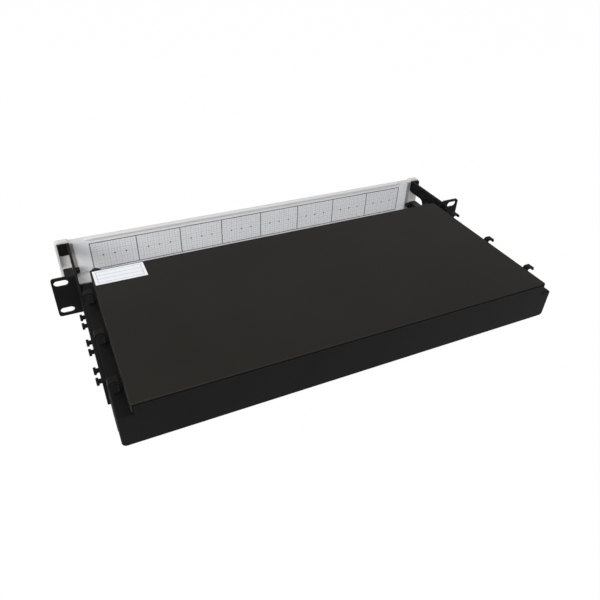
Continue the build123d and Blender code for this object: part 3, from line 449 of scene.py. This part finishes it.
growPiece("cardPortMarks", dotTree, dotSockets, {
    "Fields": cardPrint["fields"], "Field Pitch": cardPrint["width"] / cardPrint["fields"],
    "Dots": cardPrint["dots"], "Dot Pitch": cardPrint["dotPitch"], "Radius": cardPrint["dotRadius"],
    "Thick": cardPrint["thick"] * cardPrint["dotLayers"],
    "Place": (firstDot, cardPrint["face"], cardPrint["dotZ"]), "Ink": boldInk}, "door")
print("card print made")

# Write-on lines of the cover's label
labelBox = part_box("cover_label")
labelRules = {"margin": 3.0 * mm, "rows": 3, "rule": 0.3 * mm, "thick": 0.02 * mm,
              "ink": {"tone": (0.22, 0.225, 0.23), "thin": (0.28, 0.285, 0.29), "patchScale": 600.0}}
labelSize = [labelBox[1][axis] - labelBox[0][axis] for axis in range(2)]
labelMiddle = [(labelBox[0][axis] + labelBox[1][axis]) / 2 for axis in range(2)]
growPiece("labelRules", ruledTree, ruledSockets, {
    "Width": labelSize[0] - 2 * labelRules["margin"], "Height": labelSize[1] - 2 * labelRules["margin"],
    "Columns": 1, "Rows": labelRules["rows"], "Rule": labelRules["rule"], "Thick": labelRules["thick"],
    "Place": (*labelMiddle, labelBox[1][2] + printLift), "Turn": (math.pi / 2, 0.0, 0.0),
    "Ink": ink("labelInk", labelRules["ink"])}, "cover")
print("label lines made")


# Trim that the plain solids leave out: a dark strip as painted shade in the cover's rear gap, flange ends, ledge ends,
# bead ends and rubber edging

# a level strip along X with the given section of (y, z) points in millimetres
def sweepStrip(name, section, spans, body, slotName):
    corners = []
    faces = []
    for first, last in spans:
        start = len(corners)
        count = len(section)
        for x in (first, last):
            corners.extend((x * mm, y * mm, z * mm) for y, z in section)
        faces.append(tuple(start + index for index in range(count)))
        faces.append(tuple(start + count + index for index in reversed(range(count))))
        for index in range(count):
            after = (index + 1) % count
            faces.append((start + after, start + index, start + count + index, start + count + after))
    placeMesh(name, corners, faces, body, slotName)


def placeMesh(name, corners, faces, body, slotName):
    mesh = bpy.data.meshes.new(name)
    mesh.from_pydata(corners, [], faces)
    shell = bmesh.new()
    shell.from_mesh(mesh)
    bmesh.ops.recalc_face_normals(shell, faces=shell.faces[:])
    shell.to_mesh(mesh)
    shell.free()
    mesh.materials.append(coats[slotName])
    piece = bpy.data.objects.new(name, mesh)
    bpy.context.scene.collection.objects.link(piece)
    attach(piece, body)
    return piece


folds = {
    # a dark strip behind the gap under the cover's rear edge: painted shade where the gap holds only shadow
    "coverRearSlotShade": {
        "body": "cover", "slot": "black_rubber", "spans": ((-201.5, 201.5),),
        "section": ((183.45, 20.55), (183.75, 20.55), (183.75, 18.0), (183.6, 17.7), (183.45, 18.0))},
    "coverFlangeEnds": {
        "body": "cover", "slot": "black_cover_coat", "spans": ((203.85, 204.95), (-204.95, -203.85)),
        "section": ((177.6, 9.7), (181.8, 9.7), (184.5, 13.6), (184.5, 20.5), (177.6, 20.5))},
    "doorLedgeEnds": {
        "body": "door", "slot": "door_plastic", "spans": ((211.4, 216.2), (-216.2, -211.4)),
        "section": ((-70.1, -21.75), (-63.6, -21.75), (-63.3, -21.6),
                    (-63.3, -21.2), (-63.6, -21.05), (-70.1, -21.05))},
}
for name, fold in folds.items():
    sweepStrip(name, fold["section"], fold["spans"], fold["body"], fold["slot"])

# The bead on the door's top edge runs out in a taper at each end
beadEnd = {"y": -71.2, "z": 18.7, "radius": 2.6, "flat": 17.82, "arcSteps": 20,
           "rings": ((194.8, 1.0), (196.6, 0.93), (198.4, 0.76), (200.2, 0.53), (202.0, 0.32), (204.0, 0.15))}


def makeBeadEnd(side):
    low = math.asin((beadEnd["flat"] - beadEnd["z"]) / beadEnd["radius"])
    steps = beadEnd["arcSteps"]
    corners = []
    for x, size in beadEnd["rings"]:
        for step in range(steps + 1):
            angle = low + (math.pi - 2 * low) * step / steps
            y = math.cos(angle) * beadEnd["radius"]
            z = beadEnd["z"] - beadEnd["flat"] + math.sin(angle) * beadEnd["radius"]
            corners.append((side * x * mm, (beadEnd["y"] + size * y) * mm, (beadEnd["flat"] + size * z) * mm))
    count = steps + 1
    faces = [tuple(range(count)), tuple(range(len(corners) - count, len(corners)))]
    for ring in range(len(beadEnd["rings"]) - 1):
        for index in range(count):
            beside = (index + 1) % count
            start = ring * count
            faces.append((start + index, start + beside, start + count + beside, start + count + index))
    placeMesh("beadEnd" + ("Right" if side > 0 else "Left"), corners, faces, "door", "door_plastic")


makeBeadEnd(1)
makeBeadEnd(-1)

# Rubber edging of the cable entries: a lip hugging the wall outside, a web through it and a lip inside
edging = {"outside": 0.35, "inside": 0.8, "lip": 1.5, "web": 1.6, "chamfer": 0.3, "innerChamfer": 0.4,
          "shoulder": 0.6, "rim": 0.3, "overlap": 0.1, "skin": 0.8, "arcSteps": 16}


def makeEdging(side, node):
    low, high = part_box(node)
    middleY = (low[1] + high[1]) / 2 / mm
    middleZ = (low[2] + high[2]) / 2 / mm
    radius = (high[2] - low[2]) / 2 / mm - edging["lip"]
    run = (high[1] - low[1]) / 2 / mm - edging["lip"] - radius
    wallOut = max(abs(low[0]), abs(high[0])) / mm - edging["skin"]
    wallIn = min(abs(low[0]), abs(high[0])) / mm + edging["skin"]
    out, deep, lip, web = edging["outside"], edging["inside"], edging["lip"], edging["web"]
    chamfer, shoulder, overlap = edging["chamfer"], edging["shoulder"], edging["overlap"]
    section = (
        (-web, wallOut + out * shoulder), (-web + chamfer, wallOut + out), (lip - chamfer, wallOut + out),
        (lip, wallOut + out * edging["rim"]), (lip, wallOut), (-overlap, wallOut), (-overlap, wallIn), (lip, wallIn),
        (lip, wallIn - deep * shoulder), (lip - edging["innerChamfer"], wallIn - deep),
        (-web + chamfer, wallIn - deep), (-web, wallIn - deep * shoulder))
    corners = []
    steps = edging["arcSteps"]
    for end in (1, -1):
        for step in range(steps + 1):
            angle = -math.pi / 2 + math.pi * step / steps
            y, z = end * math.cos(angle), end * math.sin(angle)
            for grow, x in section:
                across = middleY + end * run + y * (radius + grow)
                corners.append((side * x * mm, across * mm, (middleZ + z * (radius + grow)) * mm))
    count = len(section)
    rings = len(corners) // count
    faces = []
    for ring in range(rings):
        after = (ring + 1) % rings
        for index in range(count):
            beside = (index + 1) % count
            faces.append((ring * count + index, ring * count + beside, after * count + beside, after * count + index))
    piece = placeMesh("entryEdging" + ("Right" if side > 0 else "Left"), corners, faces, "chassis", "black_rubber")
    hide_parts(node)


makeEdging(1, "cable_grommet_right")
makeEdging(-1, "cable_grommet_left")
print("trim and edging made")


# Floor, light and camera

studio = {
    "floorHalf": 4.0, "floorZ": cadBox[0][2] - 0.2 * mm, "floorTone": (0.86, 0.86, 0.86),
    "whiteShare": 0.985, "sky": 0.5,
    "lamps": {
        "topSoftbox": {"power": 13.0, "size": 1.6, "place": (0.2, 1.2, 1.4), "aim": (0.0, 0.0, 0.0),
                       "tint": (1.0, 1.0, 1.0)},
        "sideSoftbox": {"power": 1.6, "size": 1.2, "place": (-1.3, 1.4, 0.55), "aim": (0.0, 0.05, 0.0),
                        "tint": (0.92, 0.96, 1.0)},
        "fillSoftbox": {"power": 17.0, "size": 1.0, "place": (1.35, 0.75, 0.7), "aim": (0.0, 0.05, 0.0),
                        "tint": (1.0, 0.97, 0.92)},
    },
}


# 1 for the rays that are to see plain white: straight, mirrored and through clear plastic
def whiteRays(tree):
    ray = addNode(tree, "ShaderNodeLightPath").outputs
    direct = math2(tree, "MAXIMUM", ray["Is Camera Ray"], ray["Is Glossy Ray"])
    return math2(tree, "MAXIMUM", direct, ray["Is Transmission Ray"])


def makeFloor():
    half = studio["floorHalf"]
    z = studio["floorZ"]
    mesh = bpy.data.meshes.new("studioFloor")
    mesh.from_pydata([(-half, -half, z), (half, -half, z), (half, half, z), (-half, half, z)], [], [(0, 1, 2, 3)])
    floor = bpy.data.objects.new("studioFloor", mesh)
    bpy.context.scene.collection.objects.link(floor)
    material = bpy.data.materials.new("studioPaper")
    material.use_nodes = True
    tree = material.node_tree
    tree.nodes.clear()
    matt = addNode(tree, "ShaderNodeBsdfDiffuse", {"Color": (*studio["floorTone"], 1.0)})
    white = addNode(tree, "ShaderNodeEmission", {"Color": (1.0, 1.0, 1.0, 1.0), "Strength": 1.0})
    seen = whiteRays(tree)
    share = math2(tree, "MULTIPLY", seen, studio["whiteShare"])
    mix = addNode(tree, "ShaderNodeMixShader", {0: share, 1: matt.outputs[0], 2: white.outputs[0]})
    out = addNode(tree, "ShaderNodeOutputMaterial")
    tree.links.new(mix.outputs[0], out.inputs[0])
    mesh.materials.append(material)


def makeSky():
    world = bpy.data.worlds.new("studioSky")
    bpy.context.scene.world = world
    world.use_nodes = True
    tree = world.node_tree
    tree.nodes.clear()
    seen = whiteRays(tree)
    strength = spread(tree, seen, 0.0, 1.0, studio["sky"], 1.0)
    sky = addNode(tree, "ShaderNodeBackground", {"Color": (1.0, 1.0, 1.0, 1.0), "Strength": strength})
    out = addNode(tree, "ShaderNodeOutputWorld")
    tree.links.new(sky.outputs[0], out.inputs[0])


def makeLamp(name, look):
    light = bpy.data.lights.new(name, "AREA")
    light.shape = "SQUARE"
    light.size = look["size"]
    light.energy = look["power"]
    light.color = look["tint"]
    lamp = bpy.data.objects.new(name, light)
    bpy.context.scene.collection.objects.link(lamp)
    away = (Vector(look["place"]) - Vector(look["aim"])).normalized()
    lamp.matrix_world = Matrix.Translation(Vector(look["place"])) @ away.to_track_quat("Z", "Y").to_matrix().to_4x4()


def makeCamera():
    view = {"lens": 33.22, "place": (223.0 * mm, 483.6 * mm, 329.9 * mm), "turn": 27.121, "down": 36.831,
            "roll": 2.933, "sensor": 36.0, "shift": 0.0007, "nearest": 0.01}
    turn = math.radians(view["turn"])
    down = math.radians(view["down"])
    roll = math.radians(view["roll"])
    ahead = Vector((-math.sin(turn) * math.cos(down), -math.cos(turn) * math.cos(down), -math.sin(down)))
    right = Vector((-math.cos(turn), math.sin(turn), 0.0))
    up = right.cross(ahead)
    sideways = math.cos(roll) * right + math.sin(roll) * up
    upwards = math.cos(roll) * up - math.sin(roll) * right
    camera = bpy.data.cameras.new("photoCamera")
    camera.lens = view["lens"]
    camera.sensor_width = view["sensor"]
    camera.shift_y = view["shift"]
    camera.clip_start = view["nearest"]
    piece = bpy.data.objects.new("photoCamera", camera)
    bpy.context.scene.collection.objects.link(piece)
    turned = Matrix((sideways, upwards, -ahead)).transposed().to_4x4()
    piece.matrix_world = Matrix.Translation(Vector(view["place"])) @ turned
    bpy.context.scene.camera = piece


makeFloor()
makeSky()
for name, look in studio["lamps"].items():
    makeLamp(name, look)
makeCamera()
bpy.context.scene.view_settings.view_transform = "Standard"
print("studio made")
